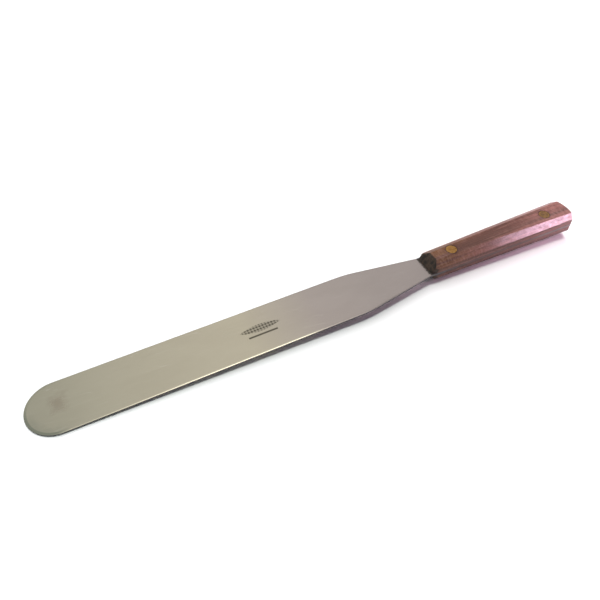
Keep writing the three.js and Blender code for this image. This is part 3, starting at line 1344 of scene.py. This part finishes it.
def paint_faces(piece, material, test):
    """Gives the faces that pass a test a finish of their own."""
    piece.data.materials.append(material)
    enter_edit(piece)
    count = select_where(piece, "FACE", test)
    piece.active_material_index = len(piece.data.materials) - 1
    bpy.ops.object.material_slot_assign()
    leave_edit()
    return count


blade.data.materials.append(satin_steel)
wall_count = paint_faces(blade, edge_steel, lambda face: abs(face.normal.z) < SIDEWAYS)
for scale in (upper_scale, lower_scale):
    scale.data.materials.append(side_grain)
    end_count = paint_faces(
        scale, end_grain, lambda face: face.normal.x < FORWARD or face.normal.x > BACK
    )
for rivet in rivets:
    rivet.data.materials.append(brass)
print("wall faces:", wall_count, "and end grain faces:", end_count)

# %% [markdown]
# ## The table and what the steel mirrors
# The tool lies on a plain white table. Satin steel mirrors the room, here a pale
# wall and ceiling with a greyer band, made as a ramp of greys over the world's
# directions. The world doesn't light matt surfaces, so that all shadows come
# from the lamps.

# %% Table and world
WALL_DIRECTION = Vector((-0.08, 0.63, 0.77)).normalized()
WALL_STOPS = [
    (0.0, (0.62, 0.615, 0.62)),
    (0.4, (0.40, 0.395, 0.40)),
    (0.65, (0.32, 0.315, 0.307)),
    (0.88, (0.68, 0.67, 0.65)),
    (1.0, (0.81, 0.80, 0.77)),
]

bpy.ops.object.select_all(action="DESELECT")
bpy.ops.mesh.primitive_plane_add(size=8, location=(0, 0, 0))
floor = bpy.context.object
floor.name = "floor"
floor_material, floor_tree = new_material("white_table")
dress(floor_tree, {"Base Color": (0.97, 0.97, 0.97), "Roughness": 0.9})
floor.data.materials.append(floor_material)

world = bpy.data.worlds.new("studio")
bpy.context.scene.world = world
world.use_nodes = True
world_tree = world.node_tree
directions = add_node(world_tree, "ShaderNodeTexCoord").outputs["Generated"]
towards_wall = vector_node(
    world_tree, "DOT_PRODUCT", directions, WALL_DIRECTION, output="Value"
)
greys = ramp(world_tree, towards_wall, WALL_STOPS)
plug(world_tree, greys, world_tree.nodes["Background"].inputs["Color"])
world.cycles_visibility.diffuse = False
print("table width in m:", floor.dimensions.x)

# %% [markdown]
# ## The lamps
# A large soft box high overhead draws the firm shadow under the blade. A weaker
# card beside it is seen only by shiny surfaces, and makes the bright line along
# the near edge. Two very wide suns stand for the light that comes back from the
# wall and, bluer and fainter, from the front of the room. A small pink strip
# close to the butt gives the gloss on the near bevel of the handle.

# %% Lamps


def add_panel(name, place, target, size, power, colour):
    """A soft box whose long side lies along x as far as it can."""
    bpy.ops.object.light_add(type="AREA")
    panel = bpy.context.object
    panel.name = name
    panel.data.shape = "RECTANGLE"
    panel.data.size, panel.data.size_y = size
    panel.data.energy = power
    panel.data.color = colour
    panel.visible_camera = False
    back = (Vector(place) - Vector(target)).normalized()
    across = (Vector((1, 0, 0)) - back * back.x).normalized()
    turned = Matrix((across, back.cross(across), back)).transposed()
    panel.matrix_world = Matrix.Translation(place) @ turned.to_4x4()
    return panel


def add_soft_sun(name, direction, angle, strength, colour):
    """Even light from a wide patch of the room, which steel doesn't mirror."""
    bpy.ops.object.light_add(type="SUN")
    sun = bpy.context.object
    sun.name = name
    sun.data.angle = math.radians(angle)
    sun.data.energy = strength
    sun.data.color = colour
    sun.visible_glossy = False
    turned = direction.to_track_quat("Z", "Y").to_matrix().to_4x4()
    sun.matrix_world = Matrix.Translation(direction) @ turned


overhead_place = Vector((0.2, 0.04, 0.98)).normalized() * 6
overhead = add_panel(
    "overhead_panel", overhead_place, (0, 0, 0), (2.6, 1.1), 190, (0.93, 1.0, 0.93)
)
overhead.visible_glossy = False
card_place = Vector((0.09, 0.12, 0.99)).normalized() * 3
card = add_panel("ceiling_card", card_place, (0, 0, 0), (1.7, 1.0), 9, (1.0, 0.98, 0.90))
card.visible_diffuse = False
add_soft_sun("wall_light", WALL_DIRECTION, 75, 2.85, (1.0, 0.975, 1.0))
add_soft_sun("front_fill", Vector((0.1, -0.8, 0.6)), 90, 0.13, (0.30, 0.58, 1.0))
butt_place = Vector((scale_high.x - 32 * MM, scale_low.y, scale_high.z))
strip_place = butt_place + Vector((0.098, -0.078, 0.104))
add_panel("strip_by_the_butt", strip_place, butt_place, (0.09, 0.03), 0.16, (1.0, 0.63, 0.83))

view = bpy.context.scene.view_settings
view.view_transform = "Standard"
view.look = "None"
view.exposure = 0
view.gamma = 1
